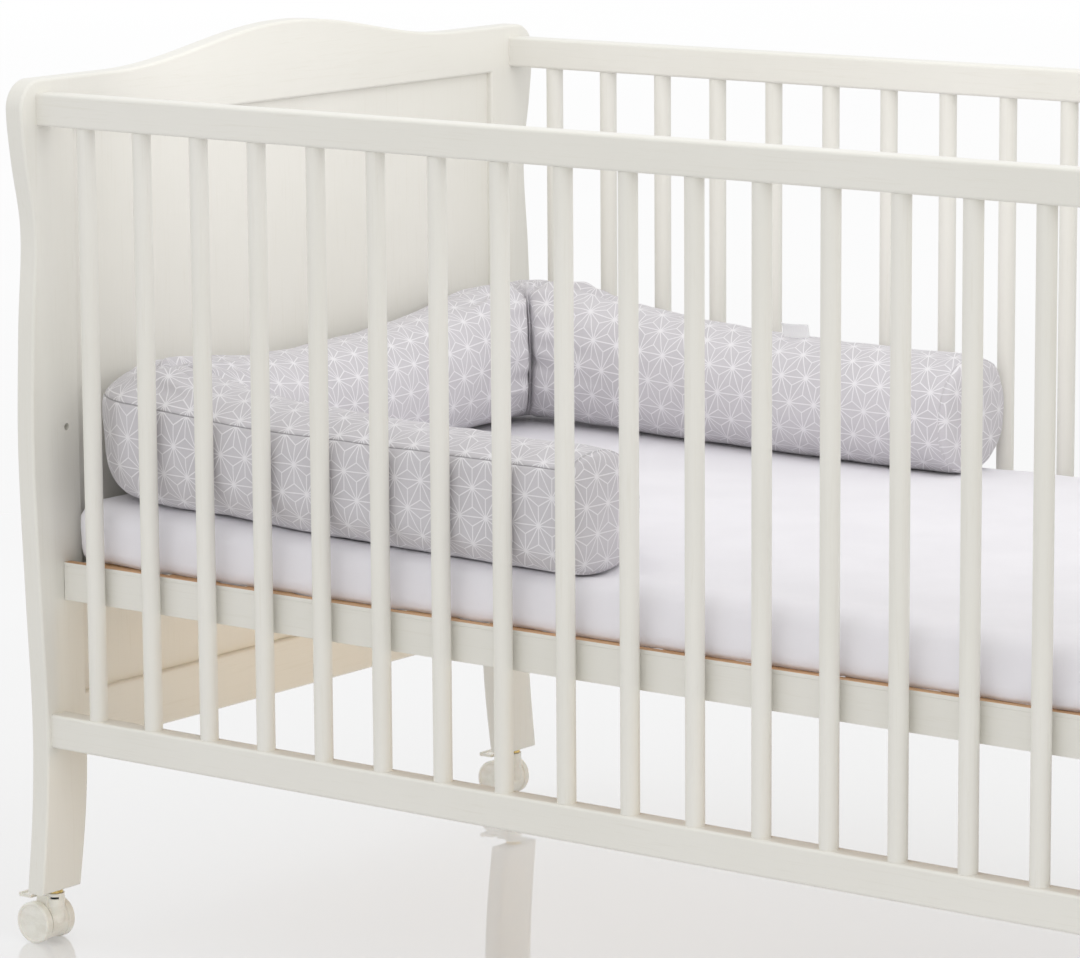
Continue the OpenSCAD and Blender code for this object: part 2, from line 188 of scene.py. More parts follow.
def bare_wood(name, along, light, dark):
    """Planed, unfinished softwood."""
    g = Graph(name, IOR=1.45)
    place = g.coords()
    stretch = [70.0, 70.0, 70.0]
    stretch[along] = 2.2
    rings = g.noise(g.stretched(place, stretch), 1.6, detail=4, distortion=1.2)
    pores = g.noise(g.stretched(place, [v * 4 for v in stretch]), 3.0, detail=3)
    patch = g.noise(place, 5.0, detail=2)
    tone = g.mix(g.ramp(rings, 0.35, 0.66), light, dark)
    tone = g.mix(g.ramp(pores, 0.56, 0.72, 0, 0.55), tone, srgb(140, 100, 66))
    tone = g.mix(g.ramp(patch, 0.3, 0.7, 0, 0.25), tone, srgb(226, 198, 160))
    g.set("Base Color", tone)
    g.set("Roughness", g.ramp(pores, 0.4, 0.7, 0.62, 0.78))
    g.set("Normal", g.bump(pores, 0.0004, 0.5, g.bump(rings, 0.0006, 0.3)))
    return g.mat


def metal(name, tone_a, tone_b, rough):
    """Plated metal with fine drawn scratches."""
    g = Graph(name, Metallic=1.0)
    place = g.coords()
    scratch = g.noise(place, (900, 140, 900), detail=4)
    cloud = g.noise(place, 160.0, detail=3)
    g.set("Base Color", g.mix(g.ramp(cloud, 0.35, 0.7), tone_a, tone_b))
    g.set("Roughness", g.ramp(scratch, 0.3, 0.7, rough - 0.07, rough + 0.12))
    g.set("Normal", g.bump(scratch, 0.00006, 0.5))
    return g.mat


def caster_plastic():
    """Moulded cream plastic, with a fine spark-eroded texture."""
    g = Graph("caster_plastic", IOR=1.49, Coat_Weight=0.2, Coat_Roughness=0.12, Subsurface_Weight=0.04)
    place = g.coords()
    flow = g.noise(place, (60, 60, 120), detail=3)
    speck = g.noise(place, 1500.0, detail=2)
    g.set("Base Color", g.mix(g.ramp(flow, 0.3, 0.7), srgb(238, 235, 226), srgb(228, 224, 213)))
    g.set("Roughness", g.ramp(speck, 0.3, 0.7, 0.24, 0.34))
    g.set("Normal", g.bump(speck, 0.00008, 0.4))
    return g.mat


def weave(g, place, pitch, depth, ripples=0):
    """Bump of a plain weave over soft ripples, from coordinates in metres across and along the cloth."""
    warp, weft = (g.math("SINE", g.math("MULTIPLY", g.parts(place)[k], tau / pitch)) for k in range(2))
    over = g.math("MULTIPLY", warp, weft)
    slub = g.noise(place, (2600, 240, 1), detail=2)
    under = g.bump(g.noise(place, (ripples, ripples, 1), detail=4), 1.2 * MM, 0.35) if ripples else None
    return g.bump(g.math("ADD", over, slub), depth, 0.5, under)


def sheet_cotton():
    """White cotton jersey of the fitted sheet."""
    g = Graph("sheet_cotton", Sheen_Weight=0.25, Sheen_Roughness=0.45, IOR=1.4, Specular_IOR_Level=0.25)
    cloth = g.coords("UV")
    cloud = g.noise(cloth, (9, 9, 1), detail=3)
    thread = g.noise(cloth, (1900, 90, 1), detail=2)
    tone = g.mix(g.ramp(cloud, 0.3, 0.7), srgb(246, 244, 249), srgb(242, 240, 245))
    g.set("Base Color", g.mix(g.ramp(thread, 0.55, 0.8, 0, 0.25), tone, srgb(231, 229, 235)))
    g.set("Roughness", g.ramp(cloud, 0.3, 0.7, 0.82, 0.9))
    g.set("Normal", weave(g, cloth, 0.9 * MM, 0.16 * MM, 34))
    return g.mat


STAR_SIDE = 30.6 * MM


def star_lattice(g, cloth):
    """How far a point of the cloth is from the print's lines, and from its star centres.
    The lines are the edges of a triangle grid and the spokes to each triangle's middle."""
    rise = STAR_SIDE * sqrt(3) / 2
    fractions = []
    for turn in (90, 210, 330):
        across = (cos(radians(turn)) / rise, sin(radians(turn)) / rise, 0)
        dot = g.node("ShaderNodeVectorMath", {0: cloth, 1: across}, operation="DOT_PRODUCT")
        fractions.append(g.math("FRACT", dot.outputs["Value"]))
    flip = g.math("GREATER_THAN", g.math("ADD", *fractions), 1.5)
    shares = [g.math("ABSOLUTE", g.math("SUBTRACT", flip, f)) for f in fractions]
    low, high = g.math("MINIMUM", *shares), g.math("MAXIMUM", *shares)
    middle = g.math("SUBTRACT", 1.0, low, high)
    spoke = g.math("DIVIDE", g.math("SUBTRACT", middle, low), sqrt(3))
    line = g.math("MULTIPLY", g.math("MINIMUM", low, spoke), rise)
    centre = g.math("MULTIPLY", g.math("SUBTRACT", 1.0, high), rise)
    return line, centre


def bolster_cotton():
    """Grey cotton printed with white twelve-ray stars."""
    g = Graph("bolster_cotton", Sheen_Weight=0.18, Sheen_Roughness=0.5, IOR=1.4, Specular_IOR_Level=0.25)
    cloth = g.coords("UV")
    line, centre = star_lattice(g, cloth)
    wobble = g.math("SUBTRACT", g.noise(cloth, (900, 900, 1), detail=2), 0.5)
    wobble = g.math("MULTIPLY", wobble, 0.4 * MM)
    ink = g.ramp(g.math("ADD", line, wobble), 0.36 * MM, 0.72 * MM, 1, 0)
    blob = g.ramp(g.math("ADD", centre, wobble), 1.3 * MM, 2.4 * MM, 1, 0)
    ink = g.math("MAXIMUM", ink, blob)
    cloud = g.noise(cloth, (12, 12, 1), detail=3)
    thread = g.noise(cloth, (2400, 160, 1), detail=2)
    tone = g.mix(g.ramp(cloud, 0.3, 0.7), srgb(212, 209, 213), srgb(206, 203, 207))
    tone = g.mix(g.ramp(thread, 0.5, 0.75, 0, 0.35), tone, srgb(196, 192, 197))
    tone = g.mix(ink, tone, srgb(238, 236, 239))
    # A dark line along the long seam, where the run round the tube starts and ends: its stitching, with
    # painted shade of the seam's groove.
    low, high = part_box("bolster")
    around = g.parts(cloth)[1]
    to_start = g.math("ABSOLUTE", around)
    to_end = g.math("ABSOLUTE", g.math("SUBTRACT", around, pi * (high.z - low.z)))
    seam_shade_and_stitch = g.ramp(g.math("MINIMUM", to_start, to_end), 0.3 * MM, 0.9 * MM, 0.62, 0)
    g.set("Base Color", g.mix(seam_shade_and_stitch, tone, srgb(112, 108, 112)))
    g.set("Roughness", g.ramp(thread, 0.3, 0.7, 0.8, 0.9))
    g.set("Normal", weave(g, cloth, 0.8 * MM, 0.16 * MM, 60))
    return g.mat


def plain_cloth(name, tone_a, tone_b, rough, sheen):
    g = Graph(name, Sheen_Weight=sheen, Sheen_Roughness=0.4, Specular_IOR_Level=0.3)
    cloth = g.coords("UV")
    thread = g.noise(cloth, (2200, 120, 1), detail=3)
    g.set("Base Color", g.mix(g.ramp(thread, 0.3, 0.7), tone_a, tone_b))
    g.set("Roughness", g.ramp(thread, 0.3, 0.7, rough - 0.05, rough + 0.05))
    g.set("Normal", weave(g, cloth, 0.7 * MM, 0.1 * MM))
    return g.mat


PAINT = [painted_wood("cream_paint_" + "xyz"[k], k) for k in range(3)]
WOOD = [bare_wood("bare_wood_" + "xyz"[k], k, srgb(214, 180, 140), srgb(184, 142, 100)) for k in range(3)]
# A lighter copy of the bare wood for the edge strips' tops: painted light that lifts the shade they lie in.
LIT_EDGE_WOOD = bare_wood("edge_wood_lightened", 0, srgb(222, 180, 140), srgb(194, 150, 110))
ZINC = metal("zinc_steel", srgb(190, 190, 186), srgb(168, 167, 162), 0.32)
BRASS = metal("brass_plate", srgb(222, 196, 130), srgb(204, 174, 104), 0.25)
# Near-black steel of the rings in the casters' slots, whose darkness is also painted shade for the slots.
SLOT_SHADE_STEEL = metal("spring_ring_slot_shade", srgb(46, 44, 42), srgb(30, 29, 28), 0.5)
PLASTIC = caster_plastic()
SHEET = sheet_cotton()
PRINT = bolster_cotton()
SATIN = plain_cloth("tag_satin", srgb(252, 252, 252), srgb(247, 247, 248), 0.42, 0.3)
TICKING = plain_cloth("mattress_ticking", srgb(238, 237, 233), srgb(226, 224, 219), 0.85, 0.2)


# ---- mesh helpers

def add_object(name, verts, faces, smooth=True):
    mesh = bpy.data.meshes.new(name)
    mesh.from_pydata([tuple(v) for v in verts], [], faces)
    mesh.update()
    if smooth:
        mesh.shade_smooth()
    return linked(name, mesh)


def set_uvs(piece, flats):
    """Gives each vertex its place on the flat cloth, in metres."""
    layer = piece.data.uv_layers.new(name="UVMap")
    for corner in piece.data.loops:
        layer.data[corner.index].uv = flats[corner.vertex_index]


def add_bmesh(name, bm):
    mesh = bpy.data.meshes.new(name)
    bmesh.ops.recalc_face_normals(bm, faces=bm.faces)
    bm.to_mesh(mesh)
    bm.free()
    return linked(name, mesh)


def lofted(name, rings):
    """A closed piece through rings of points, with a flat face at each end."""
    bm = bmesh.new()
    rows = [[bm.verts.new(p) for p in ring] for ring in rings]
    for one, two in zip(rows, rows[1:]):
        for k in range(len(one)):
            bm.faces.new((one[k - 1], one[k], two[k], two[k - 1]))
    bm.faces.new(list(reversed(rows[0])))
    bm.faces.new(rows[-1])
    bmesh.ops.remove_doubles(bm, verts=bm.verts, dist=2e-6)
    return add_bmesh(name, bm)


def wear(piece, material, body, slot, *nodes):
    """Gives a piece its material and body, and hides the CAD nodes it stands for. The slot is not used."""
    piece.data.materials.clear()
    piece.data.materials.append(material)
    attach(piece, body)
    if nodes:
        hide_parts(*nodes)
    return piece


def apply_modifiers(piece):
    graph = bpy.context.evaluated_depsgraph_get()
    mesh = bpy.data.meshes.new_from_object(piece.evaluated_get(graph))
    piece.modifiers.clear()
    old, piece.data = piece.data, mesh
    mesh.name = piece.name
    bpy.data.meshes.remove(old)


def crisp(piece):
    """Smooth shading that keeps flat faces flat beside their rounded edges."""
    mesh = piece.data
    mesh.shade_smooth()
    mesh.set_sharp_from_angle(angle=radians(32))
    piece.modifiers.new("normals", "WEIGHTED_NORMAL").keep_sharp = True


def cut(piece, cutters):
    """Subtracts the cutters from piece, and removes them."""
    for cutter in cutters:
        made = piece.modifiers.new("cut", "BOOLEAN")
        made.operation, made.object, made.solver = "DIFFERENCE", cutter, "EXACT"
    apply_modifiers(piece)
    for cutter in cutters:
        bpy.data.objects.remove(cutter)


def box_cutter(low, high):
    bm = bmesh.new()
    bmesh.ops.create_cube(bm, size=1)
    for v in bm.verts:
        v.co = Vector(h if c > 0 else l for c, l, h in zip(v.co, low, high))
    return add_bmesh("cutter", bm)


def rod_cutter(start, axis, length, radius):
    bm = bmesh.new()
    turn = Vector(axis).to_track_quat("Z", "Y").to_matrix().to_4x4()
    place = Matrix.Translation(Vector(start) + Vector(axis) * length / 2) @ turn
    bmesh.ops.create_cone(bm, cap_ends=True, segments=40, radius1=radius, radius2=radius, depth=length,
                          matrix=place)
    return add_bmesh("cutter", bm)


# ---- end panels

FOOT_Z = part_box("left_leg_front")[0].z
TOP_LOW, TOP_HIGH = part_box("left_top_rail")
BOTTOM_LOW, BOTTOM_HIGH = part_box("left_bottom_rail")
INFILL_LOW, INFILL_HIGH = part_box("left_infill_panel")
STILE_Y = TOP_HIGH.y
ROUND, ROUND_STEPS = 3.2 * MM, 5
TINY = 1e-5


def cad_bmesh(node):
    """A copy of a CAD node's mesh, with its shared corners joined."""
    bm = bmesh.new()
    bm.from_mesh(NODES[node].data)
    bmesh.ops.remove_doubles(bm, verts=bm.verts, dist=TINY)
    return bm


def face_outline(node):
    """The outer outline of a CAD panel piece as (y, z) points, anticlockwise seen from +X."""
    bm = cad_bmesh(node)
    bmesh.ops.triangulate(bm, faces=bm.faces)
    face_x = max(v.co.x for v in bm.verts)
    flat = [f for f in bm.faces if all(abs(v.co.x - face_x) < TINY for v in f.verts)]
    inside = set(flat)
    follow = {}
    for f in flat:
        for loop in f.loops:
            others = [g for g in loop.edge.link_faces if g is not f]
            if not others or others[0] not in inside:
                follow[loop.vert] = loop.link_loop_next.vert
    loops = []
    while follow:
        vert, loop = next(iter(follow)), []
        while vert in follow:
            loop.append((vert.co.y, vert.co.z))
            vert = follow.pop(vert)
        loops.append(loop)
    outer = max(loops, key=lambda l: max(p[1] for p in l) - min(p[1] for p in l))
    bm.free()
    area = sum(a[0] * b[1] - b[0] * a[1] for a, b in zip(outer, outer[1:] + outer[:1]))
    if area < 0:
        outer.reverse()

    def bends(a, p, b):
        return abs((p[0] - a[0]) * (b[1] - p[1]) - (p[1] - a[1]) * (b[0] - p[0])) > 1e-9

    return [p for a, p, b in zip(outer[-1:] + outer, outer, outer[1:] + outer[:1]) if bends(a, p, b)]


def with_points(outline, extra):
    """The outline with extra points added on its long upright edges."""
    made = []
    for a, b in zip(outline, outline[1:] + outline[:1]):
        made.append(a)
        if abs(a[0] - b[0]) < 1e-6:
            on = [(a[0], z) for z in extra if min(a[1], b[1]) + TINY < z < max(a[1], b[1]) - TINY]
            made += sorted(on, key=lambda p: abs(p[1] - a[1]))
    return made


def rounded_plate(name, outline, mates, low_x, high_x):
    """A plate in Y and Z with rounded edges, apart from the edges where mates(a, b) is true,
    which lie against another piece."""
    edges = []
    for a, b in zip(outline, outline[1:] + outline[:1]):
        way = (Vector(b) - Vector(a)).normalized()
        edges.append((Vector(a), way, Vector((-way.y, way.x)), 0 if mates(a, b) else 1))
    lines = []
    for k, edge in enumerate(edges):
        before = edges[k - 1]
        if before[3] != edge[3] and before[1].dot(edge[1]) > 0.5:
            into = edge[1] if edge[3] == 0 else -before[1]
            lines.append((edge[0], Vector((into.y, -into.x)), into, 1))
        lines.append(edge)

    def ring(inset, x):
        points = []
        for k, (at, way, inward, moves) in enumerate(lines):
            at0, way0, inward0, moves0 = lines[k - 1]
            p0, p1 = at0 + inward0 * inset * moves0, at + inward * inset * moves
            turn = way0.x * way.y - way0.y * way.x
            if abs(turn) < TINY:
                q = p1
            else:
                gap = p1 - p0
                q = p0 + way0 * ((gap.x * way.y - gap.y * way.x) / turn)
            points.append(Vector((x, q.x, q.y)))
        return points

    curve = [(ROUND * (1 - cos(a)), ROUND * (1 - sin(a)))
             for a in (pi / 2 * k / ROUND_STEPS for k in range(ROUND_STEPS + 1))]
    rings = [ring(inset, low_x + down) for inset, down in reversed(curve)]
    return lofted(name, rings + [ring(inset, high_x - down) for inset, down in curve])


HOLE_R = 3.5 * MM
SIDE_Y, BASE_HOLE_Y = 0.373, 0.3515
BASE_HOLES_Z = (0.209, 0.364, 0.519)
SIDE_BOLTS_Z = (0.218, 0.834)
JOINT_DOWELS_Z = (0.209, 0.2345, 0.8255, 0.848)
DOWEL_R, DOWEL_IN = 4 * MM, 13 * MM


def end_panel(end):
    low_x, high_x = (limit.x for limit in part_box(end + "_top_rail"))
    middle_x = (low_x + high_x) / 2

    def against(a, b):
        """Edges at the corner joints between a leg and a rail."""
        if any(abs(abs(point[0]) - STILE_Y) > TINY for point in (a, b)):
            return False
        z = (a[1] + b[1]) / 2
        return BOTTOM_LOW.z < z < BOTTOM_HIGH.z or TOP_LOW.z < z

    groove_low, groove_high = INFILL_LOW.copy(), INFILL_HIGH.copy()
    if end == "right":
        groove_low.x, groove_high.x = -INFILL_HIGH.x, -INFILL_LOW.x
    for part in ("leg_front", "leg_rear", "top_rail", "bottom_rail"):
        node = f"{end}_{part}"
        outline = face_outline(node)
        if part.startswith("leg"):
            outline = with_points(outline, (BOTTOM_LOW.z, BOTTOM_HIGH.z, TOP_LOW.z))
        piece = rounded_plate(node + "_panel", outline, against, low_x, high_x)
        cutters = [box_cutter(groove_low, groove_high)]
        across = -1 if part.endswith("front") else 1
        if part.startswith("leg"):
            holes = [(BASE_HOLE_Y, z) for z in BASE_HOLES_Z] + [(SIDE_Y, z) for z in SIDE_BOLTS_Z]
            through = high_x - low_x + 2 * MM
            rods = [((low_x - MM, across * y, z), (1, 0, 0), through, HOLE_R) for y, z in holes]
            rods += [((middle_x, across * (STILE_Y + DOWEL_IN), z), (0, -across, 0), DOWEL_IN + MM, DOWEL_R)
                     for z in JOINT_DOWELS_Z]
            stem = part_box(f"{end}_front_stem")[1].z - FOOT_Z
            rods.append(((middle_x, across * SIDE_Y, FOOT_Z - MM), (0, 0, 1), stem + MM, DOWEL_R))
            cutters += [rod_cutter(*rod) for rod in rods]
        cut(piece, cutters)
        crisp(piece)
        along = 2 if part.startswith("leg") else 1
        wear(piece, PAINT[along], "crib_frame", "cream_paint", node)


for end_name in ("left", "right"):
    end_panel(end_name)


# ---- straight timber

LONG_EDGE = 0.2


def timber(node, name, width, material, slot, segments=3):
    """A piece that stands for a CAD node of the base, with its long sharp edges rounded."""
    bm = cad_bmesh(node)
    bmesh.ops.dissolve_limit(bm, angle_limit=radians(0.6), verts=bm.verts, edges=bm.edges)
    sharp = [e for e in bm.edges if len(e.link_faces) == 2
             and e.calc_face_angle(0) > radians(50) and e.calc_length() > LONG_EDGE]
    bmesh.ops.bevel(bm, geom=sharp, offset=width, offset_type="OFFSET", segments=segments, profile=0.5,
                    affect="EDGES", clamp_overlap=True)
    piece = add_bmesh(name, bm)
    crisp(piece)
    return wear(piece, material, "crib_frame", slot, node)


for where in ("front", "rear"):
    timber(f"base_rail_{where}", f"base_rail_{where}_timber", 0.4 * MM, PAINT[0], "cream_paint")
    strip = timber(f"edge_strip_{where}", f"edge_strip_{where}_timber", 0.4 * MM, LIT_EDGE_WOOD, "bare_wood", 2)
    # Only the strip's top is bare: its other faces are painted, as the rail's are.
    strip.data.materials.append(PAINT[0])
    for poly in strip.data.polygons:
        poly.material_index = 0 if poly.normal.z > 0.8 else 1
for where in ("left", "right"):
    timber(f"base_rail_{where}", f"base_rail_{where}_timber", 1.6 * MM, PAINT[1], "cream_paint")
timber("slats", "slat_timbers", 1.5 * MM, WOOD[1], "bare_wood")


# ---- CAD nodes that stay

# By how a node's name ends.
FINISHES = {"_side_top_rail": PAINT[0], "_side_bottom_rail": PAINT[0], "_bars": PAINT[2],
            "_infill_panel": PAINT[2], "_joint_dowels": WOOD[1], "_bolts": ZINC, "_barrel_nuts": ZINC,
            "_axle": ZINC, "_stem": BRASS, "_hood": PLASTIC, "_wheel": PLASTIC, "_brake_lever": PLASTIC}
for node_name, node_object in NODES.items():
    for ending, finish in FINISHES.items():
        if node_name.endswith(ending):
            worn = node_object.data.materials
            if not worn:
                worn.append(finish)
            for k in range(len(worn)):
                worn[k] = finish


CORNERS = [f"{end}_{side}" for end in ("left", "right") for side in ("front", "rear")]
SLOT_TURN, SLOT_HALF = radians(52), radians(34)
RING_IN, RING_OUT, RING_LOW, RING_HIGH = 6.05 * MM, 7.4 * MM, 5.4 * MM, 3.2 * MM
RING_EDGE, RING_BEVEL, RING_STEPS = 0.3 * MM, 0.4 * MM, 16


def slot_shade_ring(corner):
    """A spring ring round the stem, seen through the slot in the caster's neck; its dark colour is also
    painted shade for the inside of the slot.
    """
    stem_low, stem_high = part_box(corner + "_stem")
    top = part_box(corner + "_hood")[1].z
    middle = (stem_low + stem_high) / 2
    across = 1 if middle.x < 0 else -1
    ahead = -1 if middle.y < 0 else 1
    section = ((RING_IN, RING_LOW), (RING_OUT - RING_EDGE, RING_LOW), (RING_OUT, RING_LOW - RING_BEVEL),
               (RING_OUT, RING_HIGH + RING_BEVEL), (RING_OUT - RING_EDGE, RING_HIGH), (RING_IN, RING_HIGH))
    rings = []
    for k in range(RING_STEPS + 1):
        a = SLOT_TURN + SLOT_HALF * (2 * k / RING_STEPS - 1)
        way = Vector((across * cos(a), ahead * sin(a), 0))
        rings.append([Vector((middle.x, middle.y, top - down)) + way * r for r, down in section])
    piece = lofted(corner + "_slot_shade_ring", rings)
    crisp(piece)
    return wear(piece, SLOT_SHADE_STEEL, corner + "_caster", "zinc_steel")


for corner in CORNERS:
    slot_shade_ring(corner)


# ---- how the bolster lies

MAT_LOW, MAT_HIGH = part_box("mattress")
BOLSTER_LOW, BOLSTER_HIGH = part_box("bolster")
TUBE_R = (BOLSTER_HIGH.z - BOLSTER_LOW.z) / 2
TUBE_Z = (BOLSTER_HIGH.z + BOLSTER_LOW.z) / 2
ARM_Y = BOLSTER_HIGH.y - TUBE_R
HEAD_X = BOLSTER_LOW.x + TUBE_R
CAP_DOME = 9 * MM
SEAM_X = BOLSTER_HIGH.x - CAP_DOME
FRONT_END = Vector((SEAM_X - 0.011, -ARM_Y - 0.010))
FRONT_CORNER = Vector((HEAD_X + 0.002, -ARM_Y + 0.002))
REAR_CORNER = Vector((HEAD_X - 0.004, ARM_Y + 0.007))
REAR_END = Vector((SEAM_X, ARM_Y))
FRONT_BEND_R, REAR_BEND_R = 0.034, 0.028
# Between two rings of points, and how many times closer they are in a bend.
RING_STEP, BEND_CLOSER = 7.2 * MM, 1.4
# Where the cloth keeps its cut length in a bend: 0 is the tube's middle, 1 its outer side.
OUTER_SHARE = 0.85
FRONT_SINK, REAR_SINK, CORNER_RISE = 0.011, 0.002, 0.016
SIDE_PLANE_Y = 0.3617
HEAD_PLANE_X = BOLSTER_LOW.x + 0.0002


def bolster_stations():
    """Points along the bolster's middle line in plan, with the direction and the run of cloth at each."""
    places = []

    def straight(a, b):
        n = max(1, round((b - a).length / RING_STEP))
        places.extend((a.lerp(b, k / n), (b - a).normalized()) for k in range(n))

    def corner(a, at, b, radius):
        """The start and end of the bend, and the points round it."""
        one, two = (at - a).normalized(), (b - at).normalized()
        angle = acos(one.dot(two))
        start, end = at - one * radius * tan(angle / 2), at + two * radius * tan(angle / 2)
        side = Vector((-one.y, one.x))
        if side.dot(two) < 0:
            side.negate()
        n = round(radius * angle / RING_STEP * BEND_CLOSER)
        arc = []
        for f in (angle * k / n for k in range(n)):
            point = start + side * radius * (1 - cos(f)) + one * radius * sin(f)
            arc.append((point, one * cos(f) + side * sin(f)))
        return start, end, arc

    front_in, front_out, front_arc = corner(FRONT_END, FRONT_CORNER, REAR_CORNER, FRONT_BEND_R)
    rear_in, rear_out, rear_arc = corner(FRONT_CORNER, REAR_CORNER, REAR_END, REAR_BEND_R)
    straight(FRONT_END, front_in)
    places.extend(front_arc)
    straight(front_out, rear_in)
    places.extend(rear_arc)
    straight(rear_out, REAR_END)
    places.append((REAR_END, (REAR_END - REAR_CORNER).normalized()))
    made, run = [], 0.0
    for k, (at, way) in enumerate(places):
        if k:
            before, way_before = places[k - 1]
            run += (at - before).length + OUTER_SHARE * TUBE_R * acos(min(way.dot(way_before), 1))
        made.append((at, way, run))
    return made


STATIONS = bolster_stations()
TUBE_RUN = STATIONS[-1][2]


def nearness(at, place, width):
    """1 at a place, and falling away over this width."""
    return exp(-((at - place).length / width) ** 2)


def sink(at):
    """How far the bolster's own weight lowers its arms, more towards their free ends."""
    t = min(max((at.x - HEAD_X) / (SEAM_X - HEAD_X), 0), 1)
    most = FRONT_SINK if at.y < 0 else REAR_SINK
    return most * (1 - (1 - t) ** 2) * smooth(abs(at.y), 0.20, 0.28)


def perk(at):
    """How much of its full rise the tube has at a point: it stands up at its corners, most at the rear."""
    return nearness(at, REAR_CORNER, 0.21) + 0.5 * nearness(at, FRONT_CORNER, 0.15)


def axis_z(at):
    return TUBE_Z - sink(at) + CORNER_RISE * perk(at)


def bisected(before, at, after):
    """A bend's corner, the direction across its middle plane, and its middle station."""
    across = (at - before).normalized() + (after - at).normalized()
    middle = min(range(len(STATIONS)), key=lambda i: (STATIONS[i][0] - at).length)
    return at, across.normalized(), middle


BENDS = (bisected(FRONT_END, FRONT_CORNER, REAR_CORNER), bisected(FRONT_CORNER, REAR_CORNER, REAR_END))
TREE = KDTree(len(STATIONS))
for k, (at, _, _) in enumerate(STATIONS):
    TREE.insert((at.x, at.y, 0), k)
TREE.balance()
DENT_WIDE, DENT_SHARE = 0.064, 0.86


def dent(x, y):
    """How far the bolster presses the mattress's top down at a point."""
    _, k, apart = TREE.find((x, y, 0))
    if apart > DENT_WIDE:
        return 0
    low = MAT_HIGH.z + 0.0012 - (axis_z(STATIONS[k][0]) - TUBE_R)
    return max(low, 0) * DENT_SHARE * (1 - (apart / DENT_WIDE) ** 2) ** 2


# ---- mattress and fitted sheet

TOP_ROUND, LOW_ROUND, CORNER_LOW_ROUND, CORNER_ROUND = 0.018, 0.005, 0.014, 0.022
HEM_UNDER = 0.055
SHEET_GROW = 1.4 * MM
SAG = 3 * MM


def profile(run, height, low):
    """Where cloth that has run this far past the top's flat lies: (outward, down)."""
    top = TOP_ROUND
    if run < top * pi / 2:
        a = run / top
        return top * sin(a), top * (1 - cos(a))
    run -= top * pi / 2
    wall = height - top - low
    if run < wall:
        return top, top + run
    run -= wall
    if run < low * pi / 2:
        a = run / low
        return top - low * (1 - cos(a)), top + wall + low * sin(a)
    run -= low * pi / 2
    return top - low - run, height


def slat_spans():
    """Where the slats start and end along X."""
    xs = sorted({v.co.x for v in NODES["slats"].data.vertices})
    starts = [xs[0]] + [b for a, b in zip(xs, xs[1:]) if b - a > 0.02]
    ends = [a for a, b in zip(xs, xs[1:]) if b - a > 0.02] + [xs[-1]]
    return list(zip(starts[::2], ends[1::2]))


SLATS = slat_spans()


def sag(x, y):
    """How far the mattress's underside bulges down between the slats and inside the edge strips."""
    nearest = min(max(a - x, x - b, 0) for a, b in SLATS)
    inside = 1 - smooth(abs(y), MAT_HIGH.y + 0.8 * MM, MAT_HIGH.y + 2.4 * MM)
    return SAG * smooth(nearest, 0, 0.014) * inside


def wrap_cloth(name, grow, bottom, step, hem, folds):
    """Cloth pulled over the mattress: a grid of the flat cloth, folded round the sides and under."""
    low, high = MAT_LOW - Vector((grow, grow, bottom)), MAT_HIGH + Vector((grow,) * 3)
    half = [(high[k] - low[k]) / 2 for k in range(2)]
    height = high.z - low.z
    flat = [side - CORNER_ROUND for side in half]
    slack = CORNER_ROUND - TOP_ROUND
    reach = slack + (TOP_ROUND + LOW_ROUND) * pi / 2 + height - TOP_ROUND - LOW_ROUND + hem
    counts = [2 * ceil((side + reach) / step) for side in flat]
    size = [2 * (side + reach) for side in flat]
    verts, flats, at = [], [], {}
    for i in range(counts[0] + 1):
        for j in range(counts[1] + 1):
            u = (i / counts[0] - 0.5) * size[0]
            v = (j / counts[1] - 0.5) * size[1]
            near = [min(max(c, -f), f) for c, f in zip((u, v), flat)]
            base, past = Vector(near), Vector((u - near[0], v - near[1]))
            run = past.length
            if run > reach + step * 0.01:
                continue
            way = past / run if run > 0 else past
            from_corner = hypot(half[0] - abs(base.x + way.x * CORNER_ROUND),
                                half[1] - abs(base.y + way.y * CORNER_ROUND))
            round_low = LOW_ROUND + (CORNER_LOW_ROUND - LOW_ROUND) * exp(-(from_corner / 0.09) ** 2)
            out, down, lean = run, 0, 0
            if run > slack:
                out, down = profile(run - slack, height, round_low)
                out += slack
                lean = min((run - slack) / (TOP_ROUND * pi / 2), 1) * pi / 2
            under = down > height - 1e-6
            p = Vector((base.x + way.x * out, base.y + way.y * out, high.z - down))
            if folds and not under:
                normal = Vector((way.x * sin(lean), way.y * sin(lean), cos(lean)))
                p += normal * folds(p, u, v, run - slack, way)
            p.z = low.z + (p.z - low.z) * (1 - dent(p.x, p.y) / height)
            p.z -= sag(p.x, p.y) * (1 - smooth(p.z, low.z, low.z + 0.012))
            at[i, j] = len(verts)
            verts.append(p)
            flats.append((u, v))
    faces = []
    for i, j in at:
        quad = [at.get(key) for key in ((i, j), (i + 1, j), (i + 1, j + 1), (i, j + 1))]
        if None not in quad:
            faces.append(quad)
    piece = add_object(name, verts, faces)
    set_uvs(piece, flats)
    return piece, size


def ridge(x, y, seed):
    """Thin crests, 0 to 1, in a field of soft noise."""
    crest = 1 - abs(noise.noise(Vector((x, y, seed)))) * 5
    return max(crest, 0) ** 2


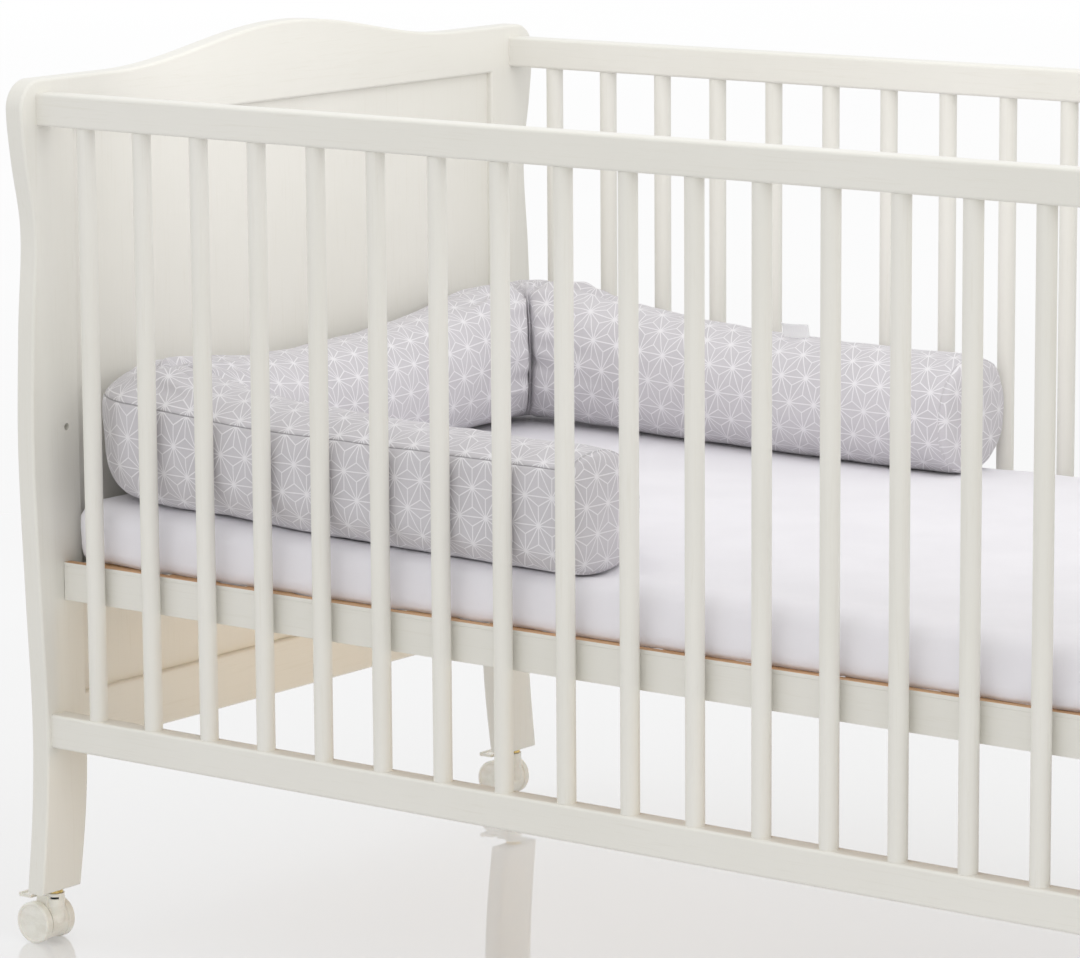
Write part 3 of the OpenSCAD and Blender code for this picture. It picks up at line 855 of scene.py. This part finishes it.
def sheet_folds(p, u, v, run, way):
    """How far the fitted sheet stands off the mattress at a point."""
    lift = 0.0008 * noise.noise(Vector((p.x * 5, p.y * 5, 2)))
    lift += 0.0004 * noise.noise(Vector((p.x * 17, p.y * 17, 5)))
    if run > 0:
        along = u if abs(way.y) > abs(way.x) else v
        depth = smooth(run, 0.004, 0.03)
        patch = smooth(noise.noise(Vector((along * 3.1, 4.2, 0.7))), -0.15, 0.35)
        lift += depth * 0.0012 * noise.noise(Vector((along * 7 + run * 5, run * 6, 1.3)))
        lift += depth * patch * 0.0016 * ridge(along * 13 + run * 17, run * 3, 7.9)
        sideways = smooth(abs(way.y), 0.25, 0.95)
        lift += depth * (0.0008 + 0.0014 * sideways)
        lift += 0.0035 * sideways * smooth(run, 0.02, 0.06) * smooth(p.x, -0.45, 0.1)
        hem_depth = smooth(run, 0.045, 0.075)
        lift += hem_depth * patch * 0.0022 * noise.noise(Vector((along * 38, run * 4, 3.3)))
    return lift


def mattress_core():
    """The foam block in its ticking, closed underneath."""
    piece, _ = wrap_cloth("mattress_core", -0.0008, -0.0011, 0.016, 0.0, None)
    bm = bmesh.new()
    bm.from_mesh(piece.data)
    bmesh.ops.holes_fill(bm, edges=[e for e in bm.edges if e.is_boundary], sides=0)
    bmesh.ops.recalc_face_normals(bm, faces=bm.faces)
    bm.to_mesh(piece.data)
    bm.free()
    piece.data.shade_smooth()
    return wear(piece, TICKING, "mattress", "sheet_cotton", "mattress")


core = mattress_core()
sheet, sheet_size = wrap_cloth("fitted_sheet", SHEET_GROW, 0.0001, 0.008, HEM_UNDER, sheet_folds)
thick = sheet.modifiers.new("thickness", "SOLIDIFY")
thick.thickness, thick.offset = 0.8 * MM, -1
wear(sheet, SHEET, "mattress", "sheet_cotton")


# ---- bolster

TUBE_SIDES = 88
SEAM_ANGLE, SEAM_TWIST = radians(136), radians(13)
SEAM_HALF = 1.1 * MM
PRESSURE, SIM_FRAMES, WALL_GAP = 4.0, 18, 0.0012
SLACK_TURN, SLACK_LENGTH, SLACK_STRAIGHT = 0.84, 1.28, 1.01
# How many rings from its middle a bend keeps its two arms apart, and the room it leaves them at each ring.
APART_RINGS, APART_ROOM = 40, 0.0004


def lying_z(x, y):
    """The height of the sheet under the bolster, with a hair's clearance."""
    return MAT_HIGH.z + SHEET_GROW + 0.0006 - dent(x, y)


def kept_clear(p):
    """The point moved out of the mattress, the bars and the end panel."""
    y = min(max(p.y, -SIDE_PLANE_Y), SIDE_PLANE_Y)
    return Vector((max(p.x, HEAD_PLANE_X), y, max(p.z, lying_z(p.x, p.y))))


def kept_apart(p, i):
    """The point of ring i kept on its own side of the plane where the two arms of a bend meet."""
    for at, across, middle in BENDS:
        if abs(i - middle) < APART_RINGS:
            side = (p.xy - at).dot(across)
            room = APART_ROOM * abs(i - middle)
            wanted = min(side, -room) if i < middle else max(side, room) if i > middle else 0
            shift = across * (wanted - side)
            p = p + Vector((shift.x, shift.y, 0))
    return p


def slack_stations():
    """The tube's middle line as the cloth was cut: longer round the bends, and less bent, so that its
    outer side has the same length and the rest has cloth to spare."""
    heading, at = 0.0, Vector((0.0, 0.0))
    made = [(at.copy(), Vector((1.0, 0.0)))]
    for (a, way_a, _), (b, way_b, _) in zip(STATIONS, STATIONS[1:]):
        turn = acos(min(way_a.dot(way_b), 1))
        heading -= turn * SLACK_TURN
        way = Vector((cos(heading), sin(heading)))
        at = at + way * (b - a).length * (SLACK_LENGTH if turn > 1e-4 else SLACK_STRAIGHT)
        made.append((at.copy(), way))
    return made


def turn_of(k, at):
    """The angle of column k round the tube: 0 is the inner side of the U, and 90 degrees is the top."""
    return SEAM_ANGLE + SEAM_TWIST * nearness(at, FRONT_CORNER, 0.22) + tau * k / TUBE_SIDES


def tube_shape():
    """The bolster's skin before it is inflated: its points in rings, and the same points as cut."""
    bent, cut_points = [], []
    for i, ((at, way, run), (cut_at, cut_way)) in enumerate(zip(STATIONS, slack_stations())):
        outward = Vector((way.y, -way.x, 0))
        cut_outward = Vector((-cut_way.y, cut_way.x, 0))
        stand = perk(at)
        middle = Vector((at.x, at.y, axis_z(at)))
        for k in range(TUBE_SIDES):
            a = turn_of(k, at)
            uneven = 0.0014 * noise.noise(Vector((run * 25, cos(a) * 1.4, sin(a) * 1.4)))
            uneven += 0.0010 * noise.noise(Vector((run * 70, cos(a) * 3, sin(a) * 3)))
            radius = TUBE_R + uneven
            tall, cut_tall = (0.20, 0.18) if sin(a) > 0 else (0.17, 0.16)
            p = middle + outward * cos(a) * radius * (1 - 0.09 * stand)
            p.z += sin(a) * radius * (1 + tall * stand)
            bent.append(kept_clear(kept_apart(p, i)))
            q = Vector((cut_at.x, cut_at.y, 0)) + cut_outward * cos(a) * TUBE_R * (1 - 0.05 * stand)
            q.z += sin(a) * TUBE_R * (1 + cut_tall * stand)
            cut_points.append(q)
    return bent, cut_points


def tube_faces(rings, sides):
    """Quads between rings of points, facing outward."""
    made = []
    for i in range(0, (rings - 1) * sides, sides):
        for k in range(sides):
            k2 = (k + 1) % sides
            made.append((i + k, i + sides + k, i + sides + k2, i + k2))
    return made


def wall(name, verts, faces):
    """Something for the cloth to press against while it is inflated."""
    made = add_object(name, verts, faces, smooth=False)
    made.modifiers.new("collision", "COLLISION")
    made.collision.thickness_outer, made.collision.thickness_inner = 0.0006, 0.01
    return made


def sim_walls():
    """The mattress's top, the end panel and the planes of the bars."""
    steps, across = 70, 80
    ground = []
    for i in range(steps + 1):
        for j in range(across + 1):
            x, y = -0.75 + 0.75 * i / steps, -0.4 + 0.8 * j / across
            ground.append((x, y, lying_z(x, y) - WALL_GAP))
    row = across + 1
    corners = [i * row + j for i in range(steps) for j in range(across)]
    made = [wall("ground", ground, [(c, c + row, c + row + 1, c + 1) for c in corners])]
    x, y = HEAD_PLANE_X - WALL_GAP, SIDE_PLANE_Y + WALL_GAP
    made.append(wall("head_wall", [(x, -1, 0), (x, 1, 0), (x, 1, 1), (x, -1, 1)], [(0, 1, 2, 3)]))
    made.append(wall("rear_wall", [(-1, y, 0), (1, y, 0), (1, y, 1), (-1, y, 1)], [(0, 1, 2, 3)]))
    made.append(wall("front_wall", [(-1, -y, 0), (1, -y, 0), (1, -y, 1), (-1, -y, 1)], [(3, 2, 1, 0)]))
    return made


def inflated(bent, cut_points):
    """The tube's points after cloth simulation: it is blown up against the mattress, bars and panel,
    and the cloth that is too long for the inside of its bends crumples."""
    tube = add_object("tube", bent, tube_faces(len(STATIONS), TUBE_SIDES))
    tube.shape_key_add(name="Basis")
    rest = tube.shape_key_add(name="rest")
    rest.data.foreach_set("co", [c for v in cut_points for c in v])
    pins = tube.vertex_groups.new(name="pins")
    for i, (at, _, _) in enumerate(STATIONS):
        away = min((at - FRONT_CORNER).length, (at - REAR_CORNER).length)
        pins.add(range(i * TUBE_SIDES, (i + 1) * TUBE_SIDES), 0.8 * smooth(away, 0.13, 0.29), "REPLACE")
    walls = sim_walls()
    cloth = tube.modifiers.new("cloth", "CLOTH")
    s, hits = cloth.settings, cloth.collision_settings
    s.quality, s.mass, s.air_damping = 8, 0.15, 2
    s.tension_stiffness = s.compression_stiffness = 12
    s.tension_damping = s.compression_damping = 10
    s.shear_stiffness, s.shear_damping, s.bending_stiffness, s.bending_damping = 4, 8, 0.04, 1
    s.use_pressure, s.uniform_pressure_force = True, PRESSURE
    s.vertex_group_mass, s.rest_shape_key = "pins", rest
    s.effector_weights.gravity = 0
    hits.use_collision, hits.distance_min, hits.collision_quality = True, WALL_GAP, 2
    cloth.point_cache.frame_end = SIM_FRAMES
    for k in range(1, SIM_FRAMES + 1):
        SCENE.frame_set(k)
    done = tube.evaluated_get(bpy.context.evaluated_depsgraph_get()).to_mesh()
    points = [kept_clear(kept_apart(v.co.copy(), k // TUBE_SIDES)) for k, v in enumerate(done.vertices)]
    for made in (tube, *walls):
        bpy.data.objects.remove(made)
    SCENE.frame_set(1)
    return points


# Pleats beside a bend's crease: the rings they reach, how high they stand, and where round the tube they show.
# Then the dip or fork that the crease ends in at the top.
PLEAT_REACH, PLEAT_HIGH, WRINKLE_HIGH, PLEAT_TURN = 26, 0.0100, 0.0085, radians(50)
TOP_TURN, TOP_WIDE = radians(86), radians(34)
DIP, PUFF, FORK = 0.010, 0.0045, 0.0095


def crease_top(away, turn, forked):
    """How the top of a bend's crease runs out: in a dip, or in two folds with a puff between them."""
    window = exp(-((turn - TOP_TURN) / TOP_WIDE) ** 2)
    if not forked:
        return -DIP * window * exp(-(away / 2.4) ** 2)
    return window * (PUFF * exp(-(away / 1.7) ** 2) - FORK * exp(-((away - 4.2) / 1.4) ** 2))


def gathers(i, around, turn):
    """How far the cloth stands up in small pleats that run away from the creases of the bends."""
    made = 0
    for forked, (_, _, middle) in enumerate(BENDS):
        away = abs(i - middle)
        if away < PLEAT_REACH:
            side = 1 if i < middle else -1
            inner = smooth(cos(turn - PLEAT_TURN), -0.1, 0.6)
            share = inner * smooth(away, 0, 3) * (1 - smooth(away, 6, 24))
            made += share * PLEAT_HIGH * ridge(around * 34, away * 0.03 * side, middle + 3.1 * side)
            made += share * WRINKLE_HIGH * noise.noise(Vector((around * 78, away * 0.06 * side, middle)))
            made += crease_top(away, turn, forked)
    return made


def seam_ridge(run, around):
    """How far the two panels stand up where they meet in the long seam."""
    away = min(around, tau * TUBE_R - around)
    return (0.0062 + 0.0016 * noise.noise(Vector((run * 9, 2.2, 6.1)))) * exp(-away / 0.021)


def fullness(offset, at):
    """How much further out the stuffing pushes a point, so that the tube is squarer than round."""
    high = abs(offset.z) / max(offset.length, 1e-6)
    corner = nearness(at, FRONT_CORNER, 0.11) + 0.7 * nearness(at, REAR_CORNER, 0.12)
    return (0.022 + 0.085 * min(corner, 1)) * (2 * high * sqrt(max(1 - high * high, 0))) ** 2


def pucker(run, around, seed):
    """The unevenness of a gathered seam, -1 to 1."""
    return noise.noise(Vector((run * 85, around * 0.8, seed)))


def sewn_rings(points):
    """The rings of the tube with the long seam drawn in, and two more columns close beside it."""
    rings = []
    for i, (at, _, run) in enumerate(STATIONS):
        ring = points[i * TUBE_SIDES:(i + 1) * TUBE_SIDES]
        middle = sum(ring, Vector()) / TUBE_SIDES
        for k, p in enumerate(ring):
            around, offset = TUBE_R * tau * k / TUBE_SIDES, p - middle
            turn = turn_of(k, at) % tau
            lift = gathers(i, around, turn) + seam_ridge(run, around) + offset.length * fullness(offset, at)
            ring[k] = kept_clear(kept_apart(p + offset.normalized() * lift, i))
        before, seam, after = ring[-1], ring[0], ring[1]
        inward = (middle - seam).normalized()
        pull = 0.0026 + 0.0008 * pucker(run, 0, 4.1)
        near = SEAM_HALF / (TUBE_R * tau / TUBE_SIDES)
        lift = 0.0003 + 0.0004 * pucker(run, 0, 8.6)
        rings.append([seam + inward * pull, seam.lerp(after, near) - inward * lift, *ring[1:],
                      seam.lerp(before, near) - inward * lift])
    return rings


# How a cap goes on from the tube's edge: share of the radius, and metres outward.
CAP = ((0.962, -0.0012), (0.945, -0.0006), (0.93, 0.0022), (0.90, 0.0042), (0.82, 0.0062), (0.68, 0.0077),
       (0.50, 0.0085), (0.30, 0.0089), (0.12, 0.0090))
# The share of the radius at the tube's last rings, and how many of its rings the cap's seam puckers.
EDGE, PUCKER_RINGS = (0.976, 0.992, 0.998), 5
CAP_PRINT = 0.011


def bolster_cover():
    """The whole bolster: the tube, drawn in at its seams, with a domed cap at each end."""
    bent, cut_points = tube_shape()
    rings = sewn_rings(inflated(bent, cut_points))
    sides = TUBE_SIDES + 2
    girth = tau * TUBE_R
    around = [0, SEAM_HALF, *(girth * k / TUBE_SIDES for k in range(1, TUBE_SIDES)), girth - SEAM_HALF]
    verts, uvs = [], []
    for ring, (_, _, run) in zip(rings, STATIONS):
        middle = sum(ring, Vector()) / sides
        row = min(round(min(run, TUBE_RUN - run) / RING_STEP), len(EDGE))
        for k, p in enumerate(ring):
            share = EDGE[row] if row < len(EDGE) else 1
            if 0 < row <= PUCKER_RINGS:
                seed = 6.0 if run < 1 else 9.0
                share += 0.009 * pucker(k * 0.16, row * 0.4, seed) * (1 - row / (PUCKER_RINGS + 1))
            verts.append(middle + (p - middle) * share)
            uvs.append((run, around[k]))
    rings_end = len(verts)
    faces = tube_faces(len(rings), sides)
    first_cap_face = len(faces)
    for end, sign in ((0, -1), (len(rings) - 1, 1)):
        way, ring = STATIONS[end][1], rings[end]
        middle = sum(ring, Vector()) / sides
        outward = Vector((way.x, way.y, 0)) * sign
        last = [end * sides + k for k in range(sides)]
        for share, out in CAP:
            row = [len(verts) + k for k in range(sides)]
            for k, p in enumerate(ring):
                tuck = 0.0011 * pucker(k * 0.16, share * 2, 2.0 + end) * smooth(share, 0.6, 0.9)
                q = middle + (p - middle) * share + outward * (out + tuck)
                q.x = min(q.x, BOLSTER_HIGH.x)
                verts.append(kept_clear(q))
                uvs.append((q.y + CAP_PRINT * sign, q.z))
            for k in range(sides):
                k2 = (k + 1) % sides
                faces.append((last[k], row[k], row[k2], last[k2])[::sign])
            last = row
        hub = len(verts)
        verts.append(middle + outward * CAP_DOME)
        verts[-1].x = min(verts[-1].x, BOLSTER_HIGH.x)
        uvs.append((middle.y + CAP_PRINT * sign, middle.z))
        faces += [(last[k], hub, last[(k + 1) % sides])[::sign] for k in range(sides)]
    piece = add_object("bolster_cover", verts, faces)
    layer = piece.data.uv_layers.new(name="UVMap")
    for poly in piece.data.polygons:
        corners = [piece.data.loops[l].vertex_index for l in poly.loop_indices]
        capped = poly.index >= first_cap_face
        wraps = any(c % sides == sides - 1 for c in corners if c < rings_end)
        for l, c in zip(poly.loop_indices, corners):
            u, v = uvs[c]
            if capped and c < rings_end:
                sign = -1 if c < sides else 1
                u, v = verts[c].y + CAP_PRINT * sign, verts[c].z
            elif not capped and wraps and v < girth / 2:
                v += girth
            layer.data[l].uv = (u, v)
    fine = piece.modifiers.new("fine", "SUBSURF")
    fine.levels = fine.render_levels = 1
    return piece


bolster = bolster_cover()
wear(bolster, PRINT, "bolster", "bolster_cotton", "bolster")


# ---- care tag

TAG_FORWARD, TAG_IN = 13 * MM, 0.8 * MM


def care_tag():
    """A blank satin tag that stands up from the bolster's top."""
    low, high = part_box("bolster_tag")
    width, height = high.x - low.x, high.z - low.z
    columns, rows = 16, 14
    foot_y = low.y - TAG_FORWARD
    surface = bolster.evaluated_get(bpy.context.evaluated_depsgraph_get())
    verts, uvs = [], []
    for j in range(rows + 1):
        for i in range(columns + 1):
            s, t = i / columns, j / rows
            if j == 0:
                hit = surface.ray_cast(Vector((low.x + width * s, foot_y, 1)), Vector((0, 0, -1)))
                base = hit[1].z - TAG_IN
            else:
                base = verts[i].z
            lean = 0.006 * t * t + 0.0012 * sin(pi * s * 1.4 + 0.4) * t
            verts.append(Vector((low.x + width * s + 0.0015 * t, foot_y - lean, base + (height - 0.004) * t)))
            uvs.append((s * width, t * height))
    faces = []
    for j in range(rows):
        for i in range(columns):
            a = j * (columns + 1) + i
            faces.append((a, a + 1, a + columns + 2, a + columns + 1))
    piece = add_object("care_tag", verts, faces)
    set_uvs(piece, uvs)
    skin = piece.modifiers.new("thickness", "SOLIDIFY")
    skin.thickness, skin.offset = 0.6 * MM, 0
    wear(piece, SATIN, "bolster", "tag_satin", "bolster_tag")


care_tag()


# ---- studio

FLOOR_HALF = 30.0
ROOM_STRENGTH = 0.96


def studio():
    """A glossy pale floor that glows a little, in an even white room with five soft lamps."""
    g = Graph("studio_floor", IOR=1.5, Emission_Strength=0.28, Coat_Weight=0.85, Coat_IOR=1.6,
              Coat_Roughness=0.01)
    place = g.coords()
    cloud = g.noise(place, 0.8, detail=2)
    g.set("Base Color", g.mix(g.ramp(cloud, 0.3, 0.7), srgb(180, 180, 181), srgb(184, 184, 185)))
    g.shader.inputs["Emission Color"].default_value = (1, 1, 1, 1)
    g.set("Roughness", g.ramp(cloud, 0.3, 0.7, 0.02, 0.03))
    w = FLOOR_HALF
    corners = [(-w, -w, 0), (w, -w, 0), (w, w, 0), (-w, w, 0)]
    floor = add_object("floor", corners, [(0, 1, 2, 3)], smooth=False)
    floor.data.materials.append(g.mat)
    world = bpy.data.worlds.new("studio")
    SCENE.world = world
    world.use_nodes = True
    background = world.node_tree.nodes["Background"].inputs
    background["Color"].default_value = (1, 1, 1, 1)
    background["Strength"].default_value = ROOM_STRENGTH

    def area(name, at, target, size, power, tone=(1, 1, 1), spread=180):
        data = bpy.data.lights.new(name, "AREA")
        data.spread = radians(spread)
        data.shape, data.size, data.size_y, data.energy = "RECTANGLE", size[0], size[1], power
        data.color = tone
        lamp = linked(name, data)
        aim = Vector(target) - Vector(at)
        lamp.matrix_world = Matrix.Translation(at) @ aim.to_track_quat("-Z", "Y").to_matrix().to_4x4()
        lamp.visible_glossy = lamp.visible_camera = False

    area("side", (3.2, -0.35, 1.45), (-0.7, 0, 0.55), (2.0, 1.6), 22)
    area("top", (0.25, -0.12, 2.0), (-0.05, 0.12, 0.4), (1.6, 0.5), 3.2)
    area("fill", (0.1, -0.2, 0.95), (0.0, 0.8, 0.8), (1.4, 0.15), 0.7)
    area("front", (0.4, -3.4, 0.6), (-0.1, 0, 0.45), (3.0, 0.9), 6)
    area("low", (0.62, 0.0, 0.30), (-0.7, 0, 0.24), (0.5, 0.12), 0.42, (1.0, 0.86, 0.66), 46)
    SCENE.view_settings.view_transform = "Standard"
    SCENE.view_settings.look = "None"


studio()
